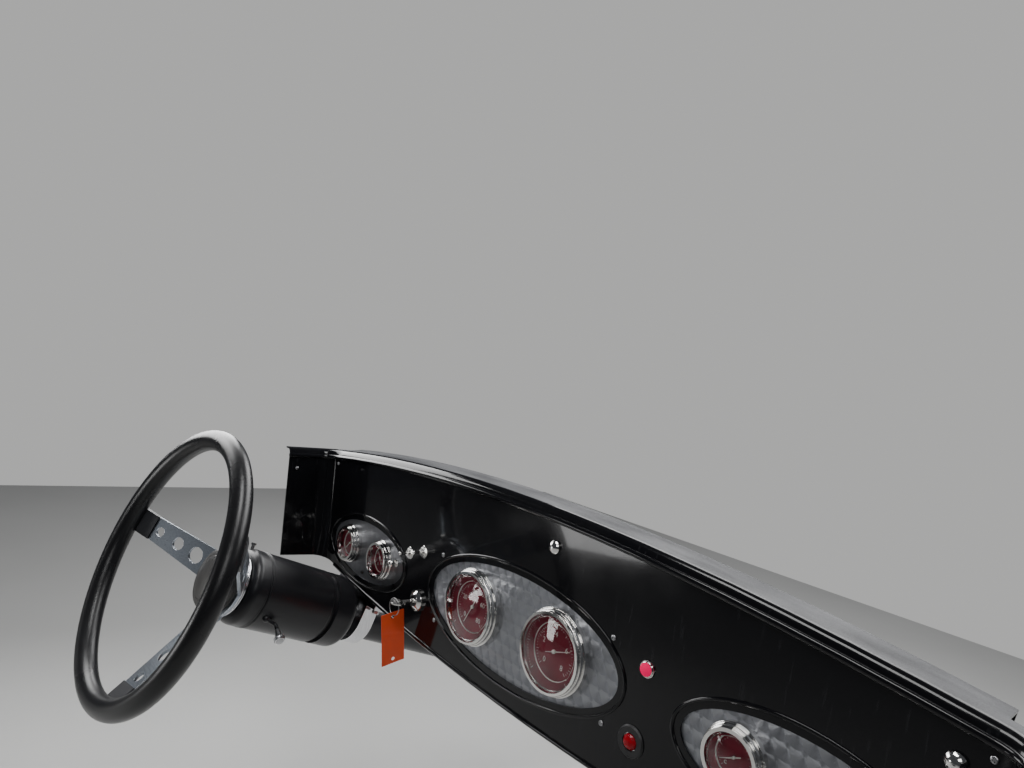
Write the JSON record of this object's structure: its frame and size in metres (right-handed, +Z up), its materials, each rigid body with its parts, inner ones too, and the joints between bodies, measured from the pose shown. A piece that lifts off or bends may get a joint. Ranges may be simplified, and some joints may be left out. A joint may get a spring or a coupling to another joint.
{
  "type": "hot rod dashboard with steering column",
  "caption": "Arched black dashboard with oval gauge panels, warning lamps, ignition lock, a steering column hung below it and a spoked wheel that turns.",
  "frame": {"origin": "midway between the two outer cowl bolts, on the flange's front face", "axes": "+X to the passenger's side along the panel, +Y forward to the windscreen along the cowl bolts, +Z up"},
  "size_m": [1.0236, 0.9049, 0.4728],
  "materials": {
    "black_paint": "gloss",
    "turned_aluminium": "engine turned",
    "brushed_plate": "brushed",
    "chrome": "polished",
    "gauge_black": "satin",
    "dial_red": "satin",
    "needle_white": "satin",
    "clear_glass": "clear",
    "red_lens": "glossy",
    "dark_lens": "glossy",
    "column_black": "satin",
    "polished_alloy": "polished",
    "steel": "machined",
    "spoke_alloy": "brushed",
    "grip_black": "satin",
    "sleeve_grey": "satin",
    "cap_grey": "satin",
    "tag_orange": "matte"
  },
  "bodies": {
    "dash": {"dash_panel": "black_paint", "centre_insert": "turned_aluminium", "left_insert": "brushed_plate", "right_insert": "turned_aluminium", "large_gauge_cases": "gauge_black", "large_gauge_dials": "dial_red", "large_gauge_needles": "needle_white", "large_gauge_glasses": "clear_glass", "large_gauge_bezels": "chrome", "small_gauge_cases": "gauge_black", "small_gauge_dials": "dial_red", "small_gauge_needles": "needle_white", "small_gauge_glasses": "clear_glass", "small_gauge_bezels": "chrome", "pilot_lamp_ring": "chrome", "pilot_lamp_lens": "red_lens", "jewel_lamp_plate": "gauge_black", "jewel_lamp_lens": "dark_lens", "dash_switches": "chrome", "dash_knobs": "chrome", "insert_knob": "chrome", "ignition_lock": "chrome", "ignition_key": "chrome", "key_ring": "steel", "key_tag": "tag_orange", "column_bowl": "column_black", "column_shroud": "column_black", "column_collar": "column_black", "column_tube": "column_black", "lower_bearing": "steel", "column_drop": "polished_alloy", "tilt_lever": "chrome", "tilt_lever_knob": "polished_alloy", "hazard_knob": "chrome"},
    "wheel": {"steering_shaft": "steel", "hub_adapter": "polished_alloy", "wheel_spokes": "spoke_alloy", "grip_sleeves": "sleeve_grey", "wheel_grip": "grip_black", "horn_cap": "cap_grey"}
  },
  "joints": [
    {"name": "steering_turn", "type": "hinge", "parent": "dash", "child": "wheel", "pos_m": [-0.34454, -0.318, -0.14302], "axis": [-0.0245, 0.9449, -0.3263], "continuous": true}
  ]
}
